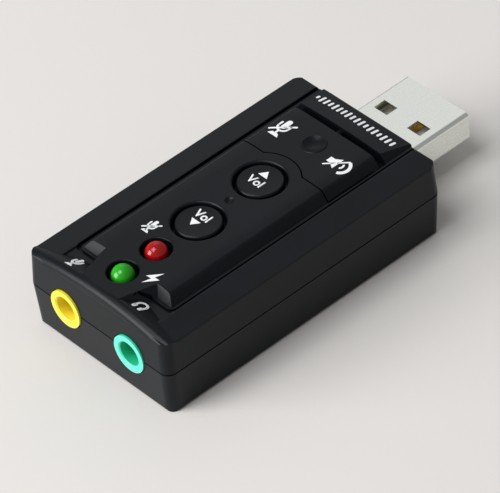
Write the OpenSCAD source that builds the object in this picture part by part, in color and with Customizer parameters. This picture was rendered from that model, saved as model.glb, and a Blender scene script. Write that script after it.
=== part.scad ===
// USB sound card: a small two-part case with a USB plug at one end, two
// 3.5 mm jacks at the other, two volume keys, a rocking mute plate and
// two lights on a raised panel. All sizes in millimetres.
// Origin: centre of the underside. X across, Y towards the USB plug, Z up.

/* [Body] */
// Width of the case at its parting line
body_w = 27.4; // [24:0.2:36]
// Length of the case, without the plug
body_l = 48.8; // [46:0.2:62]
// Height of the case at the panel's ledge
body_h = 12.0; // [11:0.2:18]
// Height of the line where the two halves meet
part_z = 6.9; // [6.5:0.1:8]
// Thickness of the case walls
wall = 1.6; // [1.2:0.1:2]
// Thickness of the floor
floor_t = 1.4; // [1.2:0.1:2]
// Thickness of the top under the ledge
roof_t = 1.5; // [1.2:0.1:2]
// How far each side leans in between the parting line and the top
draft_top = 0.25; // [0.05:0.05:0.6]
// How far each side leans in between the parting line and the underside
draft_low = 0.35; // [0.05:0.05:0.6]
// Radius of the upright corners
corner_r = 1.5; // [1:0.1:3]
// Radius of the edge round the top
top_edge_r = 0.8; // [0.3:0.1:1.2]
// Radius of the edge round the underside
low_edge_r = 0.5; // [0.2:0.1:1]
// Height of the lip that locates the two halves
lip_h = 1.0; // [0.6:0.1:1.5]
// Thickness of that lip
lip_t = 0.75; // [0.6:0.05:0.9]
// Clearance of that lip
lip_gap = 0.05; // [0.05:0.01:0.15]
// Height and depth of the fine line where the halves meet
line_h = 0.2; // [0.1:0.02:0.3]
line_d = 0.12; // [0.05:0.01:0.2]

/* [Raised panel] */
// Height of the panel above the ledge
panel_h = 1.45; // [1:0.05:2]
// Half width of the flat part of the panel
panel_flat = 5.5; // [5:0.1:6]
// Radius of the soft shoulder beside the flat part
shoulder_r = 12; // [6:1:20]
// Angle the soft shoulder turns through
shoulder_a = 8; // [4:1:12]
// Radius where the shoulder turns into the flank
flank_r = 0.9; // [0.5:0.1:1.2]
// Slope of the flanks
flank_a = 52; // [45:1:65]
// Place of the top edge of the two front shoulders
shoulder_y = -17.7; // [-18.5:0.1:-16]
// Slope of the front shoulders
shoulder_slope = 60; // [45:1:70]
// Half width of the tongue between the shoulders at its root
tongue_w = 5.0; // [4:0.1:6]
// Angle at which the tongue narrows towards the front
tongue_a = 16; // [5:1:25]
// Middle of the groove that runs round the panel
groove_x = 9.2; // [9:0.05:9.6]
// Width of the groove
groove_w = 0.45; // [0.3:0.05:0.6]
// Depth of the groove
groove_d = 0.45; // [0.3:0.05:0.6]
// Middle of the groove in front of the shoulders
groove_y = -19.27; // [-20:0.05:-19]
// Radius of the round corners of that groove
groove_r = 0.9; // [0.6:0.1:1.2]
// Rise of the side bands beside the groove, and their fall at the walls
band_up = 0.2; // [0.1:0.02:0.3]
band_down = 0.22; // [0.1:0.02:0.3]
// Radius of the crowned front edge across the case
crown_r = 60; // [50:1:80]
// Radius of the roll at the crowned front edge
crown_edge_r = 1.1; // [0.5:0.1:1.2]
// Slope of the ramp from the front edge down to the ledge
ramp_a = 24; // [20:1:40]
// Fall of the rear strip towards the plug
strip_fall = 0.9; // [0.4:0.1:1.2]
// Radius of the rear strip's crown
strip_r = 105; // [80:5:150]

/* [Keys and lights] */
// Place of the volume up key
vol_up_y = 4.9; // [4:0.1:6]
// Place of the volume down key
vol_down_y = -6.0; // [-7:0.1:-5]
// Radius of the volume keys
key_r = 3.22; // [2.8:0.02:3.4]
// Clearance round a volume key
key_gap = 0.46; // [0.3:0.02:0.6]
// Radius of the roll round each key opening
rim_r = 0.35; // [0.2:0.05:0.5]
// Radius of the roll round each key's top
key_edge_r = 0.4; // [0.2:0.05:0.6]
// Depth of the hollow in each key's top
key_dish = 0.15; // [0.05:0.05:0.25]
// Travel of a volume key
key_travel = 0.25; // [0.2:0.05:0.35]
// Thickness of the flange that holds a key in
flange_t = 0.8; // [0.6:0.1:1]
// How far that flange stands out
flange_w = 0.95; // [0.7:0.05:1.2]
// Clearance round that flange
flange_gap = 0.25; // [0.15:0.05:0.4]
// Radius of a key's stem
stem_r = 1.5; // [1:0.1:2]
// Places of the power light and the activity light
green_y = -19.2; // [-20:0.1:-18.5]
red_y = -13.4; // [-14.5:0.1:-12.5]
// Radius of a light's lens
lens_r = 1.6; // [1.5:0.05:1.7]
// Clearance round a lens
lens_gap = 0.55; // [0.3:0.05:0.6]
// How far a lens stands out of the panel
lens_up = 0.9; // [0.4:0.1:1.2]
// Radius of the roll round a light's hole
lens_rim_r = 0.2; // [0.1:0.05:0.3]
// Length of a lens below its dome
lens_h = 3.6; // [3:0.1:4]
// Width and thickness of a lens's flange
lens_flange_w = 0.35; // [0.2:0.05:0.4]
lens_flange_t = 0.9; // [0.6:0.1:1.2]
// Distance of a light's legs from its axis
leg_x = 1.0; // [0.8:0.05:1.27]
// Side of a light's square leg
leg_w = 0.5; // [0.4:0.05:0.6]
// Radius of the small dimple between the keys
dimple_r = 0.7; // [0.5:0.1:1]
// Depth of the small dimple
dimple_d = 0.3; // [0.1:0.05:0.4]

/* [Mute plate] */
// Front edge of the mute plate
plate_y0 = 9.05; // [8.8:0.05:9.6]
// Rear edge of the mute plate
plate_y1 = 18.2; // [17.5:0.1:18.6]
// Thickness of the plate
plate_t = 1.1; // [0.8:0.1:1.4]
// Gap between the plate and the panel
plate_gap = 0.2; // [0.12:0.02:0.3]
// Wide gap behind the plate
rear_gap = 1.15; // [0.8:0.05:1.4]
// Width of the ring left round the volume up opening
ring_w = 1.7; // [1.4:0.1:2.2]
// Depth of the recess below the ledge
recess_d = 0.6; // [0.5:0.05:0.8]
// Radius of the pivot pins
pivot_r = 0.5; // [0.4:0.05:0.6]
// Length of the pivot pins inside their holes
pivot_l = 0.8; // [0.6:0.1:1]
// Running clearance of the pivot pins
pivot_gap = 0.04; // [0.02:0.01:0.08]
// Distance of each mute switch from the middle
mute_x = 6.0; // [5.5:0.1:6.5]
// Place of the mute switches along the case
mute_y = 14.1; // [13.5:0.1:15]
// Radius of the posts under the plate
post_r = 1.0; // [0.7:0.1:1.3]
// Clearance of the posts in the recess floor
post_gap = 0.5; // [0.4:0.1:0.7]
// Gap between a post and its switch
touch_gap = 0.02; // [0.01:0.01:0.04]
// Place of the dimple in the plate
plate_dimple_y = 14.55; // [13:0.05:16]
// Radius of the dimple in the plate
plate_dimple_r = 1.45; // [1:0.05:2]
// Depth of that dimple
plate_dimple_d = 0.35; // [0.2:0.05:0.5]
// Radius and height of the soft ring round that dimple
plate_ring_r = 0.35; // [0.2:0.05:0.5]
plate_ring_up = 0.1; // [0.05:0.01:0.2]

/* [Jacks] */
// Distance of each jack from the middle
jack_x = 6.2; // [6:0.1:6.5]
// Height of the jack axes
jack_z = 6.5; // [6.4:0.1:6.6]
// Radius of the jack's bore
jack_bore_r = 1.8; // [1.75:0.05:1.9]
// Radius of the coloured ring
jack_ring_r = 2.8; // [2.7:0.1:3.1]
// Clearance of the ring in the case
jack_gap = 0.12; // [0.05:0.01:0.2]
// How far the ring stands out of the case
jack_proud = 0.15; // [0:0.05:0.5]
// Length of the whole jack
jack_l = 13.5; // [12:0.5:14]
// Width of the jack's body
jack_w = 6.2; // [6:0.1:6.2]
// Height of the jack's body
jack_h = 5.8; // [5.4:0.1:6]
// Chamfer at the jack's mouth
jack_chamfer = 0.2; // [0.1:0.05:0.4]
// Thickness and width of a jack's spring contacts
spring_t = 0.25; // [0.2:0.05:0.3]
spring_w = 1.2; // [1:0.1:1.5]

/* [USB plug] */
// Width and height of the metal shell
plug_w = 12.0; // [12:0.1:12.1]
plug_h = 4.5; // [4.5:0.1:4.6]
// Thickness of the shell's sheet
plug_t = 0.3; // [0.2:0.05:0.4]
// Outer corner radius of the shell
plug_r = 0.6; // [0.5:0.05:0.8]
// Length that stands out of the case
plug_out = 12.55; // [11.7:0.05:14]
// Length inside the case
plug_in = 6.5; // [5.5:0.1:7]
// Size and place of the two windows
window_w = 2.5; // [2:0.1:3]
window_l = 2.0; // [1.8:0.1:2.5]
window_x = 3.2; // [2.85:0.05:3.4]
// Distance of the windows from the tip
window_y = 6.6; // [5:0.1:7]
// Width of the seam where the sheet's ends meet
seam_w = 0.08; // [0.05:0.01:0.15]
// Height of the insulator inside the shell
tongue_h = 1.9; // [1.8:0.05:2]
// Width of a contact strip
contact_w = 1.0; // [0.8:0.1:1.2]
// Thickness of a contact strip
contact_t = 0.15; // [0.1:0.05:0.2]
// Clearance of the plug in the case
plug_gap = 0.1; // [0.05:0.05:0.2]

/* [Board] */
// Thickness of the circuit board
board_t = 1.6; // [1.4:0.1:1.6]
// Height of the board's underside
board_z = 1.9; // [1.8:0.1:2.2]
// Gap between the board and the case walls
board_gap = 0.3; // [0.2:0.05:0.5]
// Radius of the locating posts of the top
peg_r = 0.9; // [0.7:0.1:1.1]
// Clearance of those posts
peg_gap = 0.06; // [0.03:0.01:0.12]
// Thickness of the ribs that the board rests on
rib_t = 1.0; // [0.8:0.1:1.2]
// Side of a switch's square body
switch_w = 6.0; // [5.8:0.1:6.2]
// Height of a switch's body
switch_h = 3.5; // [3:0.1:4]
// Thickness of a switch's metal cover
cover_t = 0.3; // [0.2:0.05:0.4]
// Radius of a switch's plunger
plunger_r = 1.7; // [1.5:0.05:1.8]
// Running clearance of a plunger
plunger_gap = 0.05; // [0.03:0.01:0.08]
// Height of a plunger above its switch
plunger_up = 1.5; // [1.2:0.1:2]
// Length of a plunger inside its switch
plunger_in = 1.4; // [1:0.1:1.6]

/* [Hidden] */
$fn = 64;
overlap = 0.01;
slack = 0.1;
top_z = body_h + panel_h;
board_top = board_z + board_t;
plug_z = board_top + plug_h / 2;
ceiling = body_h - roof_t;
panel_ceiling = top_z - roof_t;
foot_z = body_h + 0.05;
front_y = -body_l / 2;
rear_y = body_l / 2;
ring_r = key_r + key_gap + ring_w;
pivot_z = top_z - plate_t;
plunger_top = board_top + switch_h + plunger_up;
recess_y1 = plate_y1 + rear_gap;
recess_x = panel_foot()[0] + plate_gap;
lens_top = top_z + lens_up;
lens_base = lens_top - lens_r - lens_h;
inset_low = wall + draft_low;
inset_top = wall + draft_top;
board_w = body_w - 2 * inset_low - 2 * board_gap;
board_l = body_l - 2 * inset_low - 2 * board_gap;
peg_x = body_w / 2 - inset_low - 1.85;
peg_y0 = front_y + jack_l + 1.5;
peg_y1 = rear_y - 4.4;
rib_x = 7.5;
tab_w = 1.4;
pocket_x = 6.2;
through = panel_h + roof_t + 2;
passive_x = 1.6 - board_w / 2;
passive_pitch = 2.2;
chip_x = -7;
chip_y = -1.8;
chip_w = 5;
leg_pitch = 0.65;
can_x = 7.2;
can_r = 2.0;
base_t = 0.8;
regulator_x = -6.35;
regulator_y = 7.4;

// Rounded rectangle, flat
module plate2d(w, l, r) {
    square([w - 2 * r, l], center = true);
    square([w, l - 2 * r], center = true);
    for (sx = [-1, 1], sy = [-1, 1]) {
        translate([sx * (w / 2 - r), sy * (l / 2 - r)]) circle(r);
    }
}

// Stands a flat drawing up in X and Z and runs it along Y
module along_y(y0, y1) {
    translate([0, y1, 0]) rotate([90, 0, 0]) linear_extrude(y1 - y0) children();
}

// Stands a flat drawing up in Y and Z and runs it along X
module along_x(w) {
    rotate([90, 0, 90]) linear_extrude(w, center = true) children();
}

// End view of a drafted half case: half width h, from the parting line up
module upper_view(h, z1, d, r) {
    x1 = h - d * (z1 - r - part_z) / (body_h - part_z);
    polygon([[-h, part_z], [h, part_z], [x1, z1 - r], [x1 - r, z1], [r - x1, z1], [-x1, z1 - r]]);
    for (sx = [-1, 1]) translate([sx * (x1 - r), z1 - r]) circle(r);
}

// End view of the lower half, from the underside up to the parting line
module lower_view(h, d, r) {
    x1 = h - d * (part_z - r) / part_z;
    polygon([[-h, part_z], [h, part_z], [x1, r], [x1 - r, 0], [r - x1, 0], [-x1, r]]);
    for (sx = [-1, 1]) translate([sx * (x1 - r), r]) circle(r);
}

// What a round corner leaves over, on a line that leans in with both walls by lean degrees
module corner_waste(lean) {
    span = body_h + 4;
    out = corner_r + 2;
    for (mx = [0, 1], my = [0, 1]) mirror([mx, 0, 0]) mirror([0, my, 0])
        translate([body_w / 2, body_l / 2, part_z]) rotate([lean, -lean, 0]) difference() {
            translate([-corner_r, -corner_r, -span]) cube([out, out, 2 * span]);
            translate([-corner_r, -corner_r, -span - 1]) cylinder(r = corner_r, h = 2 * span + 2);
        }
}

// Drafted block with rolled edges, the outside of the upper half up to z1
module upper_block(z1) {
    difference() {
        intersection() {
            along_y(front_y, rear_y) upper_view(body_w / 2, z1, draft_top, top_edge_r);
            along_x(body_w) upper_view(body_l / 2, z1, draft_top, top_edge_r);
        }
        corner_waste(atan(draft_top / (body_h - part_z)));
    }
}

// The same for the lower half
module lower_block() {
    difference() {
        intersection() {
            along_y(front_y, rear_y) lower_view(body_w / 2, draft_low, low_edge_r);
            along_x(body_w) lower_view(body_l / 2, draft_low, low_edge_r);
        }
        corner_waste(-atan(draft_low / part_z));
    }
}

// Centres and ends of the two arcs of the panel's shoulder, in end view
function unit(a) = [sin(a), cos(a)];
function panel_c1() = [panel_flat, top_z - shoulder_r];
function panel_c2() = panel_c1() + (shoulder_r - flank_r) * unit(shoulder_a);
function panel_p2() = panel_c2() + flank_r * unit(flank_a);
function panel_foot() = [panel_p2()[0] + (panel_p2()[1] - foot_z) / tan(flank_a), foot_z];

// End view of the raised panel, down to height z0
module panel_view(z0) {
    c1 = panel_c1();
    c2 = panel_c2();
    p1 = c1 + shoulder_r * unit(shoulder_a);
    p2 = panel_p2();
    p3 = panel_foot();
    for (sx = [0, 1]) mirror([sx, 0]) {
        polygon([[-overlap, z0], [p3[0], z0], p3, p2, p1, [panel_flat, top_z], [-overlap, top_z]]);
        intersection() {
            translate(c2) circle(flank_r);
            translate([0, z0]) square([body_w, body_h]);
        }
        intersection() {
            translate(c1) circle(shoulder_r);
            polygon([[panel_flat, z0], [panel_flat, top_z + 1], p1 + unit(shoulder_a), [p1[0], z0]]);
        }
    }
}

// Block whose right face is the bevelled flank of the tongue
module tongue_side() {
    side = 30;
    translate([tongue_w, shoulder_y, top_z]) rotate([0, 0, -tongue_a]) rotate([0, flank_a - 90, 0])
        translate([-side, -side / 2, -side / 4]) cube([side, side, side / 2]);
}

// Tongue with the power light, between the two front shoulders
module tongue() {
    intersection() {
        translate([-body_w / 2, front_y + draft_top + crown_edge_r, ceiling])
            cube([body_w, shoulder_y - front_y, top_z - ceiling]);
        tongue_side();
        mirror([1, 0, 0]) tongue_side();
    }
}

// Panel with its bevelled front shoulders
module panel() {
    run = panel_h / tan(shoulder_slope);
    intersection() {
        along_y(shoulder_y - 2, plate_y0 - plate_gap) panel_view(ceiling);
        along_x(body_w) polygon([[shoulder_y - 2, ceiling], [shoulder_y - 2, body_h],
            [shoulder_y - run, body_h], [shoulder_y, top_z], [plate_y0, top_z], [plate_y0, ceiling]]);
    }
    translate([0, vol_up_y, ceiling]) cylinder(r = ring_r, h = top_z - ceiling);
}

// Crowned front edge: a roll and a ramp turned round one far axis below the case
module front_crown() {
    r = crown_edge_r;
    centre = crown_r - r;
    drop = panel_h + roof_t;
    start = [centre + r * cos(ramp_a), r + r * sin(ramp_a)];
    end = [crown_r - drop, start[1] + (start[0] - crown_r + drop) / tan(ramp_a)];
    intersection() {
        translate([0, front_y + draft_top, top_z + overlap - crown_r]) rotate([-90, 0, 0])
            rotate_extrude($fn = 128) {
                polygon([[0, 0], [centre, 0], [centre, r], start, end, [0, end[1]]]);
                translate([centre, r]) circle(r, $fn = 48);
            }
        translate([-body_w / 2, front_y, ceiling]) cube([body_w, body_l / 2, drop + 1]);
        upper_block(top_z + 0.6);
    }
}

// Rear strip that falls towards the plug
module rear_strip() {
    run = rear_y - recess_y1;
    fall_a = atan(strip_fall / run);
    end_z = top_z - strip_fall;
    r = low_edge_r;
    y2 = rear_y - draft_top;
    foot_x = panel_foot()[0];
    rise = panel_h + 0.5;
    intersection() {
        along_y(recess_y1, rear_y) polygon([[-foot_x, ceiling], [foot_x, ceiling], [foot_x, foot_z],
            [foot_x - rise / tan(flank_a), foot_z + rise],
            [rise / tan(flank_a) - foot_x, foot_z + rise], [-foot_x, foot_z]]);
        translate([0, recess_y1, top_z]) rotate([-fall_a, 0, 0]) translate([0, -2, -strip_r])
            rotate([-90, 0, 0]) cylinder(r = strip_r, h = run + 4, $fn = 256);
        along_x(body_w) difference() {
            translate([recess_y1, ceiling]) square([y2 - recess_y1, top_z - ceiling + 1]);
            difference() {
                translate([y2 - r, end_z - r + 0.05]) square([2 * r, 3]);
                translate([y2 - r, end_z - r + 0.05]) circle(r);
            }
        }
    }
}

// Outline that the groove follows, grown by g
module groove_plan(g) {
    x = groove_x + g;
    y = groove_y - g;
    k = groove_r;
    turn = tongue_w + 0.4 + g / 2;
    end = tongue_w - 0.7;
    polygon([[-x, rear_y + 1], [-x, y + k], [k - x, y], [-turn, y], [-end, y - 1.1], [-end, y - 1.6],
        [end, y - 1.6], [end, y - 1.1], [turn, y], [x - k, y], [x, y + k], [x, rear_y + 1]]);
    for (sx = [-1, 1]) translate([sx * (x - k), y + k]) circle(k);
}

// Groove round the panel, open at the rear
module groove() {
    end = tongue_w - 0.8;
    translate([0, 0, body_h + 0.1 - groove_d]) linear_extrude(groove_d + 3) difference() {
        groove_plan(groove_w / 2);
        groove_plan(-groove_w / 2);
        translate([-end, front_y]) square([2 * end, 8]);
    }
}

// Side bands and ledges: the flat top that slopes outward beside the groove
module tray() {
    h = body_w / 2;
    top = body_h + band_up;
    edge = body_h - band_down;
    intersection() {
        upper_block(top + 0.05);
        along_y(front_y, rear_y) polygon([[-h, part_z], [h, part_z], [h, edge],
            [groove_x + 0.5, top], [groove_x + 0.1, top], [groove_x, body_h], [-groove_x, body_h],
            [-groove_x - 0.1, top], [-groove_x - 0.5, top], [-h, edge]]);
    }
}

// Fine line round the case where its halves meet
module parting_line() {
    translate([0, 0, part_z - line_h / 2]) linear_extrude(line_h) difference() {
        square([body_w + 2, body_l + 2], center = true);
        plate2d(body_w - 2 * line_d, body_l - 2 * line_d, corner_r);
    }
}

// Round opening with a rolled edge, cut down from the panel's top
module opening(r, roll) {
    translate([0, 0, ceiling - 1]) cylinder(r = r, h = through + 2);
    translate([0, 0, top_z - roll]) rotate_extrude() difference() {
        translate([r - 0.2, 0]) square([0.2 + roll, roll + overlap]);
        translate([r + roll, 0]) circle(roll, $fn = 32);
    }
}

// Recess that the mute plate rocks in
module plate_recess() {
    difference() {
        translate([-recess_x, plate_y0 - plate_gap, body_h - recess_d])
            cube([2 * recess_x, recess_y1 - plate_y0 + plate_gap, 5]);
        translate([0, vol_up_y, 0]) cylinder(r = ring_r, h = 30);
    }
}

// Openings for the jacks and the plug, cut from both halves of the case
module end_openings() {
    for (sx = [-1, 1]) {
        translate([sx * jack_x, front_y - 1, jack_z]) rotate([-90, 0, 0])
            cylinder(r = jack_ring_r + jack_gap, h = wall + 3);
        translate([sx * jack_x - jack_w / 2 - slack, front_y + wall, board_top - slack])
            cube([jack_w + 2 * slack, 4, jack_h + 2 * slack]);
    }
    along_y(rear_y - 4, rear_y + 1) translate([0, plug_z])
        plate2d(plug_w + 2 * plug_gap, plug_h + 2 * plug_gap, plug_r + plug_gap);
}

// The four places of the locating posts
module at_pegs() {
    for (sx = [-1, 1]) {
        translate([sx * peg_x, peg_y0, 0]) children();
        translate([sx * (peg_x - 0.5), peg_y1, 0]) children();
    }
}

module top_shell() {
    color("#1c2124") {
        difference() {
            union() {
                tray();
                panel();
                tongue();
                front_crown();
                rear_strip();
            }
            groove();
            plate_recess();
            parting_line();
            // Hollow inside
            translate([0, 0, part_z - 1]) linear_extrude(ceiling - part_z + 1)
                plate2d(body_w - 2 * inset_top, body_l - 2 * inset_top, corner_r);
            translate([0, 0, part_z - 1]) linear_extrude(lip_h + 1.1)
                plate2d(body_w - 2 * wall + 2 * lip_t, body_l - 2 * wall + 2 * lip_t, corner_r);
            translate([-pocket_x, shoulder_y + 1.2, ceiling - 1])
                cube([2 * pocket_x, plate_y0 - shoulder_y - 2.7, panel_ceiling - ceiling + 1]);
            for (y = [vol_up_y, vol_down_y]) translate([0, y, ceiling - 1])
                cylinder(r = key_r + flange_w + flange_gap, h = panel_ceiling - ceiling + 1);
            // Openings in the panel
            translate([0, vol_up_y, 0]) opening(key_r + key_gap, rim_r);
            translate([0, vol_down_y, 0]) opening(key_r + key_gap, rim_r);
            translate([0, red_y, 0]) opening(lens_r + lens_gap, lens_rim_r);
            translate([0, green_y, 0]) opening(lens_r + lens_gap, lens_rim_r);
            dimple_at(dimple_r, dimple_d, (vol_up_y + vol_down_y) / 2);
            // Holes for the plate's posts and its pivot pins
            for (sx = [-1, 1]) translate([sx * mute_x, mute_y, ceiling - 1])
                cylinder(r = post_r + post_gap, h = 4);
            translate([0, vol_up_y + ring_r - pivot_l, pivot_z]) rotate([-90, 0, 0])
                cylinder(r = pivot_r + pivot_gap, h = 2);
            translate([0, recess_y1 - 1, pivot_z]) rotate([-90, 0, 0])
                cylinder(r = pivot_r + pivot_gap, h = 1 + pivot_l + slack);
            end_openings();
        }
        // Locating posts that hold the board down
        at_pegs() {
            translate([0, 0, board_z - 1]) cylinder(r = peg_r, h = ceiling - board_z + 1 + overlap);
            translate([0, 0, board_top]) cylinder(r = peg_r + 0.6, h = ceiling - board_top + overlap);
        }
    }
}

// Shallow round dimple in the panel at place y
module dimple_at(r, d, y) {
    ball = (r * r + d * d) / (2 * d);
    translate([0, y, top_z - d + ball]) sphere(ball);
}

module bottom_shell() {
    in_l = body_l - 2 * inset_low;
    in_w = body_w - 2 * inset_low;
    lip_w = body_w - 2 * wall + 2 * lip_t - 2 * lip_gap;
    lip_l = body_l - 2 * wall + 2 * lip_t - 2 * lip_gap;
    rest_h = board_z - floor_t + overlap;
    color("#1c2124") difference() {
        union() {
            difference() {
                lower_block();
                translate([0, 0, floor_t]) linear_extrude(part_z)
                    plate2d(in_w, in_l, corner_r);
            }
            // Lip that stands up inside the top
            translate([0, 0, part_z - 1]) linear_extrude(lip_h + 1) difference() {
                plate2d(lip_w, lip_l, corner_r);
                plate2d(in_w, in_l, corner_r);
            }
            // Rests for the board
            at_pegs() translate([0, 0, floor_t - overlap]) cylinder(r = peg_r + 0.9, h = rest_h);
            for (sx = [-1, 1]) translate([sx * rib_x - rib_t / 2, -in_l / 2, floor_t - overlap])
                cube([rib_t, in_l, rest_h]);
            translate([-in_w / 2, 0, floor_t - overlap]) cube([in_w, rib_t, rest_h]);
        }
        parting_line();
        at_pegs() translate([0, 0, board_z - 1.1]) cylinder(r = peg_r + peg_gap, h = 3);
        end_openings();
    }
}

// A round key with a rolled and dished top, a flange and a stem
module key_at(y) {
    flange_z = panel_ceiling - 0.05 - flange_t;
    key_top = top_z - 0.05;
    ball = 40;
    translate([0, y, 0]) difference() {
        rotate_extrude() {
            translate([0, flange_z]) square([key_r, key_top - key_edge_r - flange_z]);
            translate([0, flange_z]) square([key_r - key_edge_r, key_top - flange_z]);
            translate([key_r - key_edge_r, key_top - key_edge_r]) circle(key_edge_r, $fn = 32);
            translate([0, flange_z]) square([key_r + flange_w, flange_t]);
            translate([0, plunger_top]) square([stem_r, key_top - plunger_top - 1]);
        }
        translate([0, 0, key_top + ball - key_dish]) sphere(ball, $fn = 128);
    }
}

module vol_up_key() {
    color("#1a1e20") key_at(vol_up_y);
}

module vol_down_key() {
    color("#1a1e20") key_at(vol_down_y);
}

module mute_plate() {
    inner = mute_x + post_r + 0.2;
    color("#1c2124") {
        difference() {
            union() {
                along_y(plate_y0, plate_y1) panel_view(foot_z);
                translate([0, plate_dimple_y, top_z + plate_ring_up - plate_ring_r]) rotate_extrude()
                    translate([plate_dimple_r + plate_ring_r / 2, 0]) circle(plate_ring_r, $fn = 32);
            }
            translate([0, vol_up_y, 0]) cylinder(r = ring_r + plate_gap, h = 30);
            translate([-inner, plate_y0 - 1, body_h - 1])
                cube([2 * inner, plate_y1 - plate_y0 + 2, pivot_z - body_h + 1]);
            dimple_at(plate_dimple_r, plate_dimple_d, plate_dimple_y);
        }
        // Pivot pins, one in the ring and one across the rear gap
        translate([0, vol_up_y + ring_r - pivot_l + 0.1, pivot_z]) rotate([-90, 0, 0])
            cylinder(r = pivot_r, h = recess_y1 - vol_up_y - ring_r + 2 * pivot_l - 0.1);
        // Posts that press the switches
        for (sx = [-1, 1]) translate([sx * mute_x, mute_y, plunger_top + touch_gap]) {
            translate([0, 0, post_r]) sphere(post_r);
            translate([0, 0, post_r]) cylinder(r = post_r, h = pivot_z - plunger_top - post_r);
        }
    }
}

// A 3 mm light: lens with a domed top and a flange
module lens_at(y) {
    translate([0, y, lens_base + lens_h]) sphere(lens_r);
    translate([0, y, lens_base]) cylinder(r = lens_r, h = lens_h);
    translate([0, y, lens_base]) cylinder(r = lens_r + lens_flange_w, h = lens_flange_t);
}

module red_led() {
    color("#d01a1a") lens_at(red_y);
}

module green_led() {
    color("#2fa81c") lens_at(green_y);
}

module led_legs() {
    below = 0.3;
    color("#c8ccd0") for (y = [red_y, green_y], sx = [-1, 1])
        translate([sx * leg_x - leg_w / 2, y - leg_w / 2, board_z - below])
            cube([leg_w, leg_w, lens_base - board_z + below]);
}

// A 3.5 mm jack: ring, block and bore right through
module jack_at(x) {
    block_y = front_y + wall + slack;
    c = jack_chamfer;
    translate([x, front_y - jack_proud, jack_z]) difference() {
        union() {
            rotate([-90, 0, 0]) cylinder(r = jack_ring_r, h = jack_proud + wall + 3 * slack);
            translate([-jack_w / 2, block_y - front_y + jack_proud, board_top - jack_z])
                cube([jack_w, jack_l - jack_proud - wall - slack, jack_h]);
        }
        translate([0, -1, 0]) rotate([-90, 0, 0]) cylinder(r = jack_bore_r, h = jack_l + 2);
        // Chamfer at the mouth
        translate([0, -overlap, 0]) rotate([-90, 0, 0])
            rotate_extrude() polygon([[0, 0], [jack_bore_r + c, 0], [jack_bore_r, c], [0, c]]);
    }
}

module mic_jack() {
    color("#efe033") jack_at(-jack_x);
}

module headphone_jack() {
    color("#5fe8cc") jack_at(jack_x);
}

// Spring contacts on the outer flanks of the jacks, one foot each on the board
module jack_contacts() {
    side = jack_x + jack_w / 2;
    foot = 1.4;
    color("#d9b25a") for (mx = [0, 1], i = [0:2]) mirror([mx, 0, 0])
        translate([side, front_y + 3.3 + 4 * i, board_top]) {
            cube([spring_t, spring_w, 3.6]);
            cube([foot, spring_w, spring_t]);
        }
}

module circuit_board() {
    color("#1d5a36") translate([0, 0, board_z]) linear_extrude(board_t) difference() {
        plate2d(board_w, board_l, 1);
        at_pegs() circle(peg_r + peg_gap);
        for (y = [red_y, green_y], sx = [-1, 1]) translate([sx * leg_x, y]) circle(leg_w * 0.9, $fn = 24);
        for (sx = [-1, 1]) translate([sx * (plug_w / 2 - plug_t / 2), rear_y - plug_in + 2.2])
            square([plug_t + 2 * slack, tab_w + 3 * slack], center = true);
    }
}

module usb_shell() {
    y0 = rear_y - plug_in;
    y1 = rear_y + plug_out;
    color("#d9dcdc") {
        difference() {
            along_y(y0, y1) translate([0, plug_z]) difference() {
                plate2d(plug_w, plug_h, plug_r);
                plate2d(plug_w - 2 * plug_t, plug_h - 2 * plug_t, plug_r - plug_t);
                translate([-seam_w / 2, -plug_h]) square([seam_w, plug_h]);
            }
            for (sx = [-1, 1]) translate([sx * window_x - window_w / 2, y1 - window_y - window_l / 2, 0])
                cube([window_w, window_l, 20]);
        }
        // Tabs into the board
        for (sx = [-1, 1]) translate([sx * (plug_w / 2 - plug_t / 2) - plug_t / 2, y0 + 1.5, board_z])
            cube([plug_t, tab_w, board_t + plug_r]);
    }
}

// Places of the four contact strips: the outer two reach further
function contact_x() = [-3.5, -1.0, 1.0, 3.5];
function contact_end(x) = rear_y + plug_out - (abs(x) > 2 ? 1.2 : 2.2);

module usb_insulator() {
    y0 = rear_y - plug_in + 0.2;
    y1 = rear_y + plug_out - 0.5;
    z0 = plug_z - plug_h / 2 + plug_t + 0.03;
    w = plug_w - 2 * plug_t - 0.1;
    color("#2a2c2e") difference() {
        union() {
            along_y(y0, y1) translate([0, z0 + tongue_h / 2]) plate2d(w, tongue_h, 0.25);
            along_y(y0, y0 + 4.5) translate([0, plug_z]) plate2d(w, plug_h - 2 * plug_t - 0.06, 0.25);
        }
        for (x = contact_x()) translate([x - contact_w / 2 - 0.02, y0 - 1, z0 + tongue_h - 0.1])
            cube([contact_w + 0.04, contact_end(x) - y0 + 1.02, contact_t + 0.02]);
    }
}

module usb_contacts() {
    y0 = rear_y - plug_in - 0.6;
    z0 = plug_z - plug_h / 2 + plug_t + 0.03 + tongue_h - 0.1;
    color("#d8b04a") for (x = contact_x()) {
        translate([x - contact_w / 2, y0, z0]) cube([contact_w, contact_end(x) - y0, contact_t]);
        translate([x - contact_w / 2, y0, board_top]) cube([contact_w, contact_t, z0 - board_top + overlap]);
    }
}

// The four places of the switches
module at_switches() {
    translate([0, vol_up_y, board_top]) children();
    translate([0, vol_down_y, board_top]) children();
    for (sx = [-1, 1]) translate([sx * mute_x, mute_y, board_top]) children();
}

module switch_bodies() {
    color("#22262a") at_switches() difference() {
        translate([-switch_w / 2, -switch_w / 2, 0]) cube([switch_w, switch_w, switch_h - cover_t]);
        translate([0, 0, switch_h - plunger_in - key_travel - slack])
            cylinder(r = plunger_r + plunger_gap, h = switch_h);
    }
}

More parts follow.
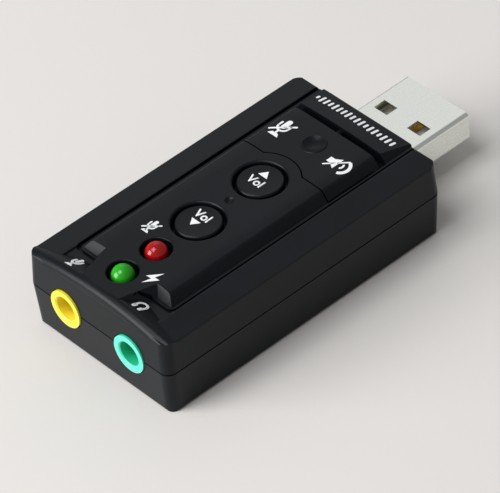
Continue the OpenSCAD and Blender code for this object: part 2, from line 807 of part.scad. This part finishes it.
module switch_covers() {
    color("#c3c7ca") at_switches() {
        difference() {
            translate([-switch_w / 2, -switch_w / 2, switch_h - cover_t]) cube([switch_w, switch_w, cover_t]);
            translate([0, 0, 1]) cylinder(r = plunger_r + plunger_gap, h = 5);
        }
        for (sx = [-1, 1]) translate([sx * (switch_w / 2 + 0.1) - 0.1, -1, 0])
            cube([0.2, 2, switch_h]);
    }
}

module plunger_at(x, y) {
    length = plunger_in + plunger_up;
    translate([x, y, plunger_top - length]) cylinder(r = plunger_r, h = length);
}

module vol_up_plunger() {
    color("#8c6a4a") plunger_at(0, vol_up_y);
}

module vol_down_plunger() {
    color("#8c6a4a") plunger_at(0, vol_down_y);
}

module mic_mute_plunger() {
    color("#8c6a4a") plunger_at(-mute_x, mute_y);
}

module speaker_mute_plunger() {
    color("#8c6a4a") plunger_at(mute_x, mute_y);
}

module audio_chip() {
    color("#17191b") translate([chip_x - chip_w / 2, chip_y - chip_w / 2, board_top + slack])
        cube([chip_w, chip_w, 1.4]);
}

// Legs on the four sides of the audio chip
module chip_legs() {
    half = chip_w / 2;
    w = 0.24;
    t = 0.15;
    color("#c3c7ca") translate([chip_x, chip_y, board_top]) for (a = [0, 90, 180, 270], i = [-3:3])
        rotate([0, 0, a]) translate([half, i * leg_pitch - w / 2, 0]) {
            translate([0, 0, 4 * t]) cube([3 * t, w, t]);
            translate([2 * t, 0, 0]) cube([t, w, 5 * t]);
            translate([2 * t, 0, 0]) cube([4 * t, w, t]);
        }
}

module crystal() {
    color("#c8ccd0") translate([7, -3.6, board_top]) linear_extrude(3.4) plate2d(3.6, 9, 1.79);
}

module at_capacitors() {
    for (i = [0, 1]) translate([can_x, 4 + 4.6 * i, board_top]) children();
}

module capacitor_cans() {
    color("#c9cdd1") at_capacitors() translate([0, 0, base_t]) cylinder(r = can_r, h = 4.6);
}

module capacitor_bases() {
    side = 2 * can_r + 2 * slack;
    color("#151718") at_capacitors() translate([-side / 2, -side / 2, 0]) cube([side, side, base_t]);
}

module chip_capacitors() {
    color("#b79b77") for (i = [0:2], y = [3.6, 5.6])
        translate([passive_x + passive_pitch * i, y - 0.4, board_top]) cube([1.6, 0.8, 0.8]);
}

module chip_resistors() {
    color("#20242a") for (i = [0:2])
        translate([passive_x + passive_pitch * i, -7.4, board_top]) cube([1.6, 0.8, 0.5]);
}

module regulator() {
    color("#17191b") translate([regulator_x - 2.25, regulator_y, board_top + slack]) cube([4.5, 2.4, 1.4]);
}

module regulator_legs() {
    w = 0.5;
    l = 0.7;
    color("#c3c7ca") for (i = [-1, 0, 1])
        translate([regulator_x + i * 1.5 - w / 2, regulator_y - l, board_top]) cube([w, l, 0.3]);
}

top_shell();
bottom_shell();
vol_up_key();
vol_down_key();
mute_plate();
red_led();
green_led();
led_legs();
mic_jack();
headphone_jack();
jack_contacts();
circuit_board();
usb_shell();
usb_insulator();
usb_contacts();
switch_bodies();
switch_covers();
vol_up_plunger();
vol_down_plunger();
mic_mute_plunger();
speaker_mute_plunger();
audio_chip();
chip_legs();
crystal();
capacitor_cans();
capacitor_bases();
chip_capacitors();
chip_resistors();
regulator();
regulator_legs();
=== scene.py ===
"""USB sound card on a pale studio floor, seen from above its jack end."""
import math

import bmesh
import bpy
from mathutils import Matrix, Vector
from mathutils.bvhtree import BVHTree


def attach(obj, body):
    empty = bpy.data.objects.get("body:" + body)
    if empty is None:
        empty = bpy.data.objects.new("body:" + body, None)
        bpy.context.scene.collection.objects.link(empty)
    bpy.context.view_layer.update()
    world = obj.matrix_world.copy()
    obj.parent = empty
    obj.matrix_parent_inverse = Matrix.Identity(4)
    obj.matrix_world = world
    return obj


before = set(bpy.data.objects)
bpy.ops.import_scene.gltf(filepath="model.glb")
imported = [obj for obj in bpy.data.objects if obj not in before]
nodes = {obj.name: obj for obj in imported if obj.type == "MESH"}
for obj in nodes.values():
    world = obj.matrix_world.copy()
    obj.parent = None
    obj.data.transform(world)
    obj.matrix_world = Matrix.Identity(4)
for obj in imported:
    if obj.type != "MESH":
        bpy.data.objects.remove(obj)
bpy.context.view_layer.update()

# Camera: a long lens above the right-hand corner of the jack end, looking down along the case to the plug.
# Its place, its turn and its focal length were fitted to the edges of the plug and the case.
camera = bpy.data.objects.new("camera", bpy.data.cameras.new("camera"))
bpy.context.scene.collection.objects.link(camera)
camera.location = (0.3447, -0.2754, 0.3997)
camera.rotation_euler = (math.radians(48.023), math.radians(4.266), math.radians(47.338))
camera.data.lens = 324.3
camera.data.sensor_width = 36
camera.data.clip_start = 0.05
camera.data.clip_end = 10
bpy.context.scene.camera = camera

# Case: two halves injection-moulded in black ABS, and a mute plate of the same plastic that rocks in the
# top half. The halves meet at a line round the sides and hold each other by a lip and posts.
MM = 0.001


def linear_colour(hex_code):
    """An sRGB hex colour as the linear colour that a shader takes, by the sRGB curve."""
    channels = (int(hex_code[start:start + 2], 16) / 255 for start in (1, 3, 5))
    linear = (v / 12.92 if v <= 0.04045 else ((v + 0.055) / 1.055) ** 2.4 for v in channels)
    return (*linear, 1.0)


def add_node(tree, kind, settings=None, **links):
    """A shader node with its settings, and links into its sockets from (node, output name) pairs."""
    made = tree.nodes.new(kind)
    for key, value in (settings or {}).items():
        if key in made.inputs:
            made.inputs[key].default_value = value
        else:
            setattr(made, key, value)
    for key, (source, output) in links.items():
        tree.links.new(source.outputs[output], made.inputs[key.replace("_", " ")])
    return made


def new_material(name):
    """An empty node material, with its tree and its output node."""
    made = bpy.data.materials.new(name)
    made.use_nodes = True
    made.node_tree.nodes.clear()
    return made, made.node_tree, made.node_tree.nodes.new("ShaderNodeOutputMaterial")


def moulded_plastic(name, hex_code, shade_hex, roughness, grain_mm, grain_depth_mm, settings=None):
    """Moulded plastic: a slow drift in colour and gloss, and the grain of the mould as bump."""
    drift_mm = 6
    shade_end, colour_start = 0.35, 0.65
    smoother, rougher = 0.04, 0.05
    plastic_ior = 1.53
    made, tree, out = new_material(name)
    place = add_node(tree, "ShaderNodeTexCoord")
    drift = add_node(tree, "ShaderNodeTexNoise", {"Scale": 1 / (drift_mm * MM), "Detail": 2.0},
                     Vector=(place, "Object"))
    tint = add_node(tree, "ShaderNodeValToRGB", None, Fac=(drift, "Fac"))
    tint.color_ramp.elements[0].position = shade_end
    tint.color_ramp.elements[0].color = linear_colour(shade_hex)
    tint.color_ramp.elements[1].position = colour_start
    tint.color_ramp.elements[1].color = linear_colour(hex_code)
    grain = add_node(tree, "ShaderNodeTexNoise", {"Scale": 1 / (grain_mm * MM), "Detail": 3.0},
                     Vector=(place, "Object"))
    bump = add_node(tree, "ShaderNodeBump", {"Distance": grain_depth_mm * MM, "Strength": 1.0},
                    Height=(grain, "Fac"))
    gloss = add_node(tree, "ShaderNodeMapRange",
                     {"To Min": roughness - smoother, "To Max": roughness + rougher}, Value=(drift, "Fac"))
    shader = add_node(tree, "ShaderNodeBsdfPrincipled", {"IOR": plastic_ior, **(settings or {})},
                      Base_Color=(tint, "Color"), Roughness=(gloss, "Result"), Normal=(bump, "Normal"))
    tree.links.new(shader.outputs["BSDF"], out.inputs["Surface"])
    return made


def dress(material, *names):
    """Gives CAD nodes their material."""
    for name in names:
        for one_slot in nodes[name].material_slots:
            one_slot.material = material


# Black ABS from a finely spark-eroded mould: a blue-black semi-gloss, whose gleams are soft and grey. The
# specular level is well under the usual 0.5, because this surface mirrors little of a bright room.
black_abs = moulded_plastic("black_abs_fine_grain", "#0e1217", "#0b0f13", roughness=0.36, grain_mm=0.18,
                            grain_depth_mm=0.004, settings={"Specular IOR Level": 0.17})
dress(black_abs, "top_shell", "bottom_shell", "mute_plate")

# Volume keys: two round caps moulded in black ABS, with a hollow top for the finger. A flange under the
# top half keeps each one in, and its stem stands over a push switch on the board.
# Their mould was polished more, so the gleam on the rolled edge is smaller and sharper than the case's.
key_abs = moulded_plastic("black_abs_polished", "#0d1115", "#0a0e11", roughness=0.32, grain_mm=0.2,
                          grain_depth_mm=0.002, settings={"Specular IOR Level": 0.17})
dress(key_abs, "vol_up_key", "vol_down_key")

# Lights: two 3 mm lamps on the board, whose lenses are cast in tinted epoxy and stand out of holes in
# the panel. An unlit lens looks solid and deep in colour.
# Epoxy takes the polish of its mould, so it shows small, sharp highlights and hardly any grain.
red_epoxy = moulded_plastic("red_tinted_epoxy", "#b40b10", "#94070b", roughness=0.12, grain_mm=0.5,
                            grain_depth_mm=0.001, settings={"Specular IOR Level": 0.4})
green_epoxy = moulded_plastic("green_tinted_epoxy", "#249a1a", "#1c7e12", roughness=0.12, grain_mm=0.5,
                              grain_depth_mm=0.001, settings={"Specular IOR Level": 0.4})
dress(red_epoxy, "red_led")
dress(green_epoxy, "green_led")


# Jacks: two sockets moulded in nylon, yellow for the microphone and turquoise for headphones. They stand
# on the board, and their round noses fill the holes in the front wall.
def jack_nylon(name, rim_hex, painted_bore_shade_hex):
    """Moulded nylon with painted shade in the bore: its colour turns deeper over the first 0.3 mm behind the
    face of the rim.
    """
    face_y = -24.54 * MM
    painted_shade_deep_y = -24.24 * MM
    made = moulded_plastic(name, rim_hex, rim_hex, roughness=0.42, grain_mm=0.25, grain_depth_mm=0.003)
    tree = made.node_tree
    place = add_node(tree, "ShaderNodeSeparateXYZ", None, Vector=(tree.nodes["Texture Coordinate"], "Object"))
    # Painted shade and painted reflection: the colour turns from the rim's tint to the deeper bore colour
    # over the first 0.3 mm inside the bore.
    painted_bore_shade_mask = add_node(tree, "ShaderNodeMapRange", {"From Min": face_y, "From Max": painted_shade_deep_y}, Value=(place, "Y"))
    tint = tree.nodes["Color Ramp"]
    tint.color_ramp.elements[0].position = 0.0
    tint.color_ramp.elements[1].position = 1.0
    tint.color_ramp.elements[1].color = linear_colour(painted_bore_shade_hex)
    tree.links.new(painted_bore_shade_mask.outputs["Result"], tint.inputs["Fac"])
    return made


# Nylon from an etched mould is satin. In the bore, light goes from wall to wall and picks up their colour.
# That light is painted into the colour here: painted shade and painted reflection turn the pale tint of the
# rim deeper and stronger inwards.
dress(jack_nylon("yellow_nylon_satin_painted_bore_shade", "#e2d83e", "#f0da36"), "mic_jack")
dress(jack_nylon("turquoise_nylon_satin_painted_bore_shade", "#60dcc2", "#22bc8a"), "headphone_jack")


# Plug shell: 0.3 mm steel sheet, folded round with its seam underneath, and plated with bright nickel.
# The socket's springs catch in its two windows.
def drawn_metal(name, hex_code, roughness, line_mm, depth_mm):
    """Bright metal with faint lines along Y, in its gloss and as bump."""
    along_lines = 0.06
    smoother, rougher = 0.03, 0.04
    made, tree, out = new_material(name)
    place = add_node(tree, "ShaderNodeTexCoord")
    stretch = add_node(tree, "ShaderNodeMapping", {"Scale": (1.0, along_lines, 1.0)},
                       Vector=(place, "Object"))
    lines = add_node(tree, "ShaderNodeTexNoise", {"Scale": 1 / (line_mm * MM), "Detail": 2.0},
                     Vector=(stretch, "Vector"))
    bump = add_node(tree, "ShaderNodeBump", {"Distance": depth_mm * MM}, Height=(lines, "Fac"))
    gloss = add_node(tree, "ShaderNodeMapRange",
                     {"To Min": roughness - smoother, "To Max": roughness + rougher}, Value=(lines, "Fac"))
    shader = add_node(tree, "ShaderNodeBsdfPrincipled",
                      {"Metallic": 1.0, "Base Color": linear_colour(hex_code)},
                      Roughness=(gloss, "Result"), Normal=(bump, "Normal"))
    tree.links.new(shader.outputs["BSDF"], out.inputs["Surface"])
    return made


# Nickel is a pale mirror, blurred along the plug by the lines that rolling left. Real ones are too fine
# to show, so they are drawn 0.2 mm apart.
nickel = drawn_metal("nickel_plated_steel_sheet", "#f1f4ee", roughness=0.27, line_mm=0.2, depth_mm=0.0003)
dress(nickel, "usb_shell")

# Legs, covers and the crystal's can: steel strip and sheet, cut, bent and dipped in tin, and soldered to
# the board. Tin is greyer and softer in its gleam than the plug's nickel.
tin = drawn_metal("tinned_steel", "#c9ccce", roughness=0.3, line_mm=0.1, depth_mm=0.002)
dress(tin, "led_legs", "switch_covers", "chip_legs", "crystal", "regulator_legs")

# Contacts: springy bronze strip with a flash of gold, in the plug and in the jacks. The gold gives a warm
# glint behind the plug's windows.
gilt = drawn_metal("gold_flashed_bronze", "#e0b04a", roughness=0.25, line_mm=0.1, depth_mm=0.001)
dress(gilt, "usb_contacts", "jack_contacts")

# Capacitor cans: aluminium sheet drawn to a cup and closed round its plastic base. It is light grey and
# softly bright, with faint lines from the drawing.
can_aluminium = drawn_metal("drawn_aluminium_can", "#cfd3d6", roughness=0.32, line_mm=0.15, depth_mm=0.002)
dress(can_aluminium, "capacitor_cans")

# Insulator: the tongue inside the plug, moulded in pale PBT, which stands the heat of soldering. It is
# matt, so it takes on the shade inside the shell and reads as grey behind the windows.
pale_pbt = moulded_plastic("pale_pbt_insulator", "#dcdcd4", "#d0d0c6", roughness=0.45, grain_mm=0.2,
                           grain_depth_mm=0.003)
dress(pale_pbt, "usb_insulator")

# Switch bodies and capacitor bases: moulded in black PBT with glass fibre, and soldered to the board by
# their metal parts. The fibre makes it duller and greyer than the case.
black_pbt = moulded_plastic("black_pbt_switch", "#23272b", "#1d2023", roughness=0.5, grain_mm=0.15,
                            grain_depth_mm=0.004)
dress(black_pbt, "switch_bodies", "capacitor_bases")

# Plungers: short round pins moulded in brown acetal, which slide in the switches without grease. Acetal
# has a waxy half-gloss.
brown_pom = moulded_plastic("brown_pom_plunger", "#8c6a4a", "#7c5c3e", roughness=0.4, grain_mm=0.2,
                            grain_depth_mm=0.003)
dress(brown_pom, "vol_up_plunger", "vol_down_plunger", "mic_mute_plunger", "speaker_mute_plunger")

# Chip, regulator and resistors: black epoxy pressed round the silicon, and a black coat on the
# resistors. Both are matt, with a coarse eroded grain.
black_package = moulded_plastic("black_epoxy_package", "#1a1c1e", "#141617", roughness=0.55, grain_mm=0.1,
                                grain_depth_mm=0.005)
dress(black_package, "audio_chip", "regulator", "chip_resistors")

# Chip capacitors: little blocks of layered ceramic, fired hard and soldered flat to the board. They are
# a dry, sandy tan without gleams.
tan_ceramic = moulded_plastic("tan_ceramic_chip", "#b79b77", "#a58a68", roughness=0.5, grain_mm=0.1,
                              grain_depth_mm=0.003)
dress(tan_ceramic, "chip_capacitors")

# Circuit board: glass fibre in epoxy, 1.6 mm thick, under a green solder mask, and carried by ribs of the
# case. The mask is a thin glossy film with faint waves.
solder_mask = moulded_plastic("green_solder_mask", "#1d5a36", "#174a2c", roughness=0.3, grain_mm=0.4,
                              grain_depth_mm=0.004)
dress(solder_mask, "circuit_board")

# Microphone marks: a plain one above its jack, and two crossed out, beside the red light and on the mute
# plate. Like all the marks they are pad-printed, a film of ink 0.02 mm thick that follows the moulding.
# Each is drawn flat in millimetres, with its top towards the plug, and then laid in its place.

# Pad-printing ink is opaque and satin: an even, slightly cool white.
white_ink = moulded_plastic("white_pad_printing_ink", "#f6f8f9", "#e9edef", roughness=0.45, grain_mm=0.3,
                            grain_depth_mm=0.002)


def patch(mesh, corners):
    """A flat face from its corners."""
    mesh.faces.new([mesh.verts.new((x, y, 0)) for x, y in corners])


def stroke(mesh, start, end, width):
    """A flat stroke with round ends."""
    corner_count = 16
    run = Vector(end) - Vector(start)
    middle = (Vector(end) + Vector(start)) / 2
    half_step = Matrix.Rotation(math.pi / corner_count, 4, "Z")
    made = bmesh.ops.create_circle(mesh, cap_ends=True, segments=corner_count, radius=width / 2,
                                   matrix=half_step)["verts"]
    for corner in made:
        corner.co.x += math.copysign(run.length / 2, corner.co.x)
    bmesh.ops.rotate(mesh, verts=made, matrix=Matrix.Rotation(math.atan2(run.y, run.x), 3, "Z"))
    bmesh.ops.translate(mesh, verts=made, vec=middle.to_3d())


def bow(mesh, centre, radius, width, start_deg, end_deg):
    """A flat arc of constant width."""
    turn = math.radians(start_deg)
    ends = [mesh.verts.new((centre[0] + r * math.cos(turn), centre[1] + r * math.sin(turn), 0))
            for r in (radius - width / 2, radius + width / 2)]
    edge = mesh.edges.new(ends)
    bmesh.ops.spin(mesh, geom=[*ends, edge], cent=(*centre, 0), axis=(0, 0, 1), dvec=(0, 0, 0),
                   angle=math.radians(end_deg - start_deg), steps=14, use_merge=False, use_duplicate=False)


def print_on(mesh, name, host, body, place, size=1.0):
    """Lays a flat drawing on a CAD node at a place in millimetres, and gives it the thickness of ink."""
    merge_within = 1e-4
    cut_within = 1e-5
    cut_step = 0.4
    drop_from = 30
    lift = 0.008
    ink_thickness = 0.02
    bmesh.ops.remove_doubles(mesh, verts=mesh.verts[:], dist=merge_within)
    bmesh.ops.scale(mesh, verts=mesh.verts[:], vec=(size, size, 1))
    bmesh.ops.translate(mesh, verts=mesh.verts[:], vec=(*place, 0))
    # Cuts across both ways let a wide face bend with the moulding.
    for axis in (Vector((1, 0, 0)), Vector((0, 1, 0))):
        reach = [corner.co.dot(axis) for corner in mesh.verts]
        cut = min(reach) + cut_step
        while cut < max(reach):
            bmesh.ops.bisect_plane(mesh, geom=mesh.verts[:] + mesh.edges[:] + mesh.faces[:], dist=cut_within,
                                   plane_co=axis * cut, plane_no=axis)
            cut += cut_step
    surface = BVHTree.FromObject(nodes[host], bpy.context.evaluated_depsgraph_get())
    for corner in mesh.verts:
        above = Vector((corner.co.x * MM, corner.co.y * MM, drop_from * MM))
        corner.co = surface.ray_cast(above, Vector((0, 0, -1)))[0] + Vector((0, 0, lift * MM))
    for face in mesh.faces:
        face.normal_update()
        if face.normal.z < 0:
            face.normal_flip()
    data = bpy.data.meshes.new(name)
    mesh.to_mesh(data)
    mesh.free()
    data.materials.append(white_ink)
    piece = bpy.data.objects.new(name, data)
    bpy.context.scene.collection.objects.link(piece)
    film = piece.modifiers.new("film", "SOLIDIFY")
    film.thickness = ink_thickness * MM
    film.offset = 1
    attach(piece, body)


def microphone(mesh, line):
    """A microphone in its cradle, 3.5 mm high, drawn with a line of the given width."""
    stroke(mesh, (0, 0.35), (0, 1.4), 0.8)
    bow(mesh, (0, 0.35), 0.85, line, 180, 360)
    for side in (-0.85, 0.85):
        stroke(mesh, (side, 0.35), (side, 0.95), line)
    stroke(mesh, (0, -0.5), (0, -1.3), line)
    patch(mesh, [(-0.9, -1.7), (0.9, -1.7), (0.5, -1.15), (-0.5, -1.15)])


microphone_mark = bmesh.new()
microphone(microphone_mark, line=0.5)
print_on(microphone_mark, "print_microphone", "top_shell", "case", place=(-6.6, -21.6), size=0.74)

for mark_name, host_name, body_name, mark_place, mark_size, line_width in (
        ("print_microphone_off", "top_shell", "case", (-3.75, -10.95), 0.72, 0.36),
        ("print_microphone_mute", "mute_plate", "mute", (-5.5, 13.9), 1.04, 0.3)):
    crossed_mark = bmesh.new()
    microphone(crossed_mark, line_width)
    stroke(crossed_mark, (-1.3, -1.0), (1.35, 1.35), line_width)
    print_on(crossed_mark, mark_name, host_name, body_name, mark_place, mark_size)

# Headphone mark: a band and two ear cups above the right-hand jack, in the same white ink. The band is
# one arc, and each cup is a thicker stroke on the inner side of the band's end.
headphone_mark = bmesh.new()
bow(headphone_mark, (0, 0), radius=0.62, width=0.34, start_deg=0, end_deg=180)
for band_x in (-0.62, 0.62):
    cup_x = band_x * 0.8
    stroke(headphone_mark, (band_x, 0), (band_x, -0.7), width=0.34)
    stroke(headphone_mark, (cup_x, -0.6), (cup_x, -0.95), width=0.5)
print_on(headphone_mark, "print_headphone", "top_shell", "case", place=(5.85, -21.1), size=1.05)

# Power mark: a lightning bolt beside the green light, in the same white ink. Its three faces share
# their corners.
power_mark = bmesh.new()
patch(power_mark, [(0.5, 1.55), (-1.0, -0.25), (-0.1, -0.18)])
patch(power_mark, [(0.5, 1.55), (-0.1, -0.18), (0.1, 0.22)])
patch(power_mark, [(0.1, 0.22), (-0.1, -0.18), (-0.5, -1.55), (0.95, 0.28)])
print_on(power_mark, "print_power", "top_shell", "case", place=(3.85, -17.4))

# Loudspeaker mark: a cone with two waves, crossed out, on the side of the mute plate that stops the
# sound, in the same white ink.
speaker_mark = bmesh.new()
patch(speaker_mark, [(-2.1, -0.5), (-1.3, -0.5), (-1.3, 0.5), (-2.1, 0.5)])
patch(speaker_mark, [(-1.3, -0.5), (-0.3, -1.15), (-0.3, 1.15), (-1.3, 0.5)])
bow(speaker_mark, (0.0, 0), radius=0.62, width=0.3, start_deg=-50, end_deg=50)
bow(speaker_mark, (0.1, 0), radius=1.5, width=0.5, start_deg=-62, end_deg=62)
stroke(speaker_mark, (-1.9, -1.3), (0.7, 1.4), width=0.26)
print_on(speaker_mark, "print_speaker_mute", "mute_plate", "mute", place=(5.55, 13.9), size=0.95)

# Volume marks: the word Vol and a triangle on each key, in the same white ink. The triangle stands on
# the plug's side of the up key and points to the plug, and on the down key both are the other way round.
for key_name, key_y, up in (("vol_up", 4.9, 1), ("vol_down", -6.0, -1)):
    triangle_place = (-0.45, key_y + 0.4 + 0.4 * up)
    word_place = (-0.38, key_y + 0.3 - 0.8 * up)
    triangle = bmesh.new()
    patch(triangle, [(-0.82, 0), (0.82, 0), (0, 1.15 * up)][::up])
    print_on(triangle, f"print_{key_name}_triangle", f"{key_name}_key", key_name, triangle_place)
    letters = bpy.data.curves.new("letters", "FONT")
    letters.body = "Vol"
    letters.size = 1.9
    letters.offset = 0.045
    letters.align_x = "CENTER"
    letters.align_y = "CENTER"
    letters.resolution_u = 4
    lettering = bpy.data.objects.new("lettering", letters)
    bpy.context.scene.collection.objects.link(lettering)
    word = bmesh.new()
    word.from_mesh(lettering.evaluated_get(bpy.context.evaluated_depsgraph_get()).to_mesh())
    bpy.data.objects.remove(lettering)
    print_on(word, f"print_{key_name}_word", f"{key_name}_key", key_name, word_place)

# Level bars: a row of plain strokes on the strip beside the plug, of heights that go up and down like
# the bars of a sound meter. They are printed in the same white ink.
bar_count = 18
bar_pitch = 0.84
bar_width = 0.4
shortest_half = 0.15
added_half = 0.36
wave_step = 1.13
level_bars = bmesh.new()
for bar in range(bar_count):
    bar_x = (bar - (bar_count - 1) / 2) * bar_pitch
    half_height = shortest_half + added_half * abs(math.sin(bar * wave_step)) ** 0.5
    stroke(level_bars, (bar_x, -half_height), (bar_x, half_height), bar_width)
print_on(level_bars, "print_level_bars", "top_shell", "case", place=(-0.1, 22.1))

# Floor: a large sheet of uncoated paper that runs on past the edges of the picture.
# The paper is pale, warm and matt, with faint fibres, so it shows a soft shadow and no highlight.
fibre_mm = 0.8
fibre_depth_mm = 0.01
floor_reach = 1.5
paper, paper_tree, paper_out = new_material("pale_paper")
paper_place = add_node(paper_tree, "ShaderNodeTexCoord")
paper_fibre = add_node(paper_tree, "ShaderNodeTexNoise", {"Scale": 1 / (fibre_mm * MM)},
                       Vector=(paper_place, "Object"))
paper_bump = add_node(paper_tree, "ShaderNodeBump", {"Distance": fibre_depth_mm * MM},
                      Height=(paper_fibre, "Fac"))
paper_shader = add_node(paper_tree, "ShaderNodeBsdfPrincipled",
                        {"Base Color": linear_colour("#dedbd8"), "Roughness": 0.8},
                        Normal=(paper_bump, "Normal"))
paper_tree.links.new(paper_shader.outputs["BSDF"], paper_out.inputs["Surface"])
floor_mesh = bmesh.new()
bmesh.ops.create_grid(floor_mesh, x_segments=1, y_segments=1, size=floor_reach)
floor_data = bpy.data.meshes.new("floor")
floor_mesh.to_mesh(floor_data)
floor_mesh.free()
floor_data.materials.append(paper)
floor = bpy.data.objects.new("floor", floor_data)
bpy.context.scene.collection.objects.link(floor)

# Light: a dim white room and three square soft boxes. A weak one stands behind the plug end, one hangs
# high above the jack end, and the strongest stands low in front of the jack end.
world = bpy.data.worlds.new("studio")
bpy.context.scene.world = world
world.use_nodes = True
world.node_tree.nodes["Background"].inputs["Color"].default_value = (1, 1, 1, 1)
world.node_tree.nodes["Background"].inputs["Strength"].default_value = 0.3


def soft_box(name, place, width, power):
    """A square area lamp aimed at the middle of the case."""
    case_middle = Vector((0, 0, 0.006))
    lamp = bpy.data.lights.new(name, "AREA")
    lamp.size = width
    lamp.energy = power
    made = bpy.data.objects.new(name, lamp)
    bpy.context.scene.collection.objects.link(made)
    made.location = place
    made.rotation_euler = (case_middle - Vector(place)).to_track_quat("-Z", "Y").to_euler()


soft_box("back_box", place=(-0.52, 0.42, 0.5), width=0.5, power=0.4)
soft_box("top_box", place=(-0.1, -0.4, 0.8), width=0.5, power=4.5)
soft_box("front_box", place=(-0.32, -0.68, 0.24), width=0.5, power=6.5)

bpy.context.scene.view_settings.view_transform = "Standard"
